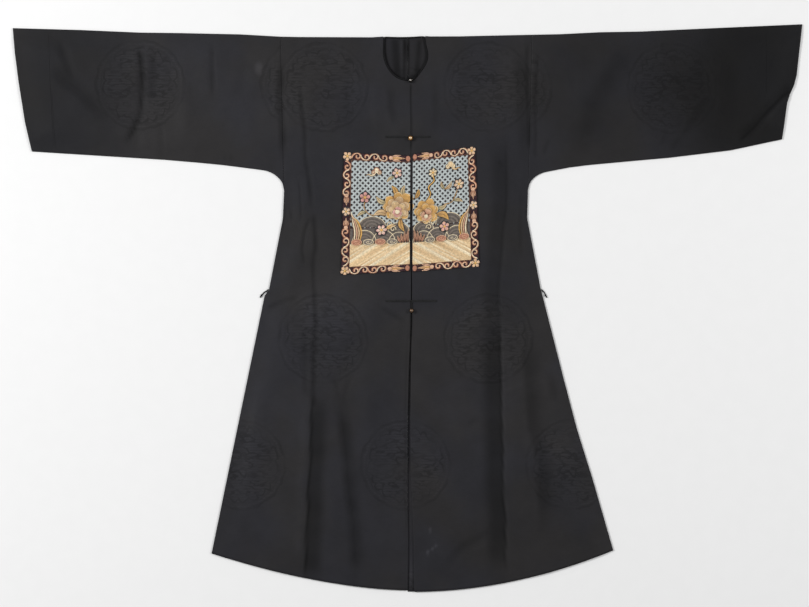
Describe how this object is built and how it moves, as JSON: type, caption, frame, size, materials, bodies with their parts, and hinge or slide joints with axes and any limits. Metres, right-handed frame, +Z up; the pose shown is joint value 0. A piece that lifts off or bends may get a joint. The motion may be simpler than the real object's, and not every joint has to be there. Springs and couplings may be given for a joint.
{
  "type": "rank badge surcoat laid flat",
  "caption": "Black silk surcoat laid flat with its front up: long sleeves, round neck, centre front opening with ball buttons, square embroidered badge on the chest and side slits.",
  "frame": {"origin": "middle of the outline, on the surface that the coat lies on", "axes": "+Z up out of the chest, +Y towards the collar, +X towards the wearer's left sleeve"},
  "size_m": [1.6746, 1.204, 0.0176],
  "materials": {
    "silk": "black damask silk with a soft sheen",
    "binding": "black satin, rolled and stitched",
    "embroidery": "silk and couched gold thread embroidery",
    "gilt": "worn gilt brass"
  },
  "bodies": {
    "root": {"body_right": "silk", "body_left": "silk", "sleeve_right": "silk", "sleeve_left": "silk", "neck_binding": "binding", "badge_right": "embroidery", "badge_left": "embroidery", "button_neck": "gilt", "button_chest": "gilt", "button_waist": "gilt", "loop_strip_neck": "binding", "loop_strip_chest": "binding", "loop_strip_waist": "binding", "button_strip_chest": "binding", "button_strip_waist": "binding", "slit_tie_right": "binding", "slit_tie_left": "binding"}
  },
  "joints": []
}
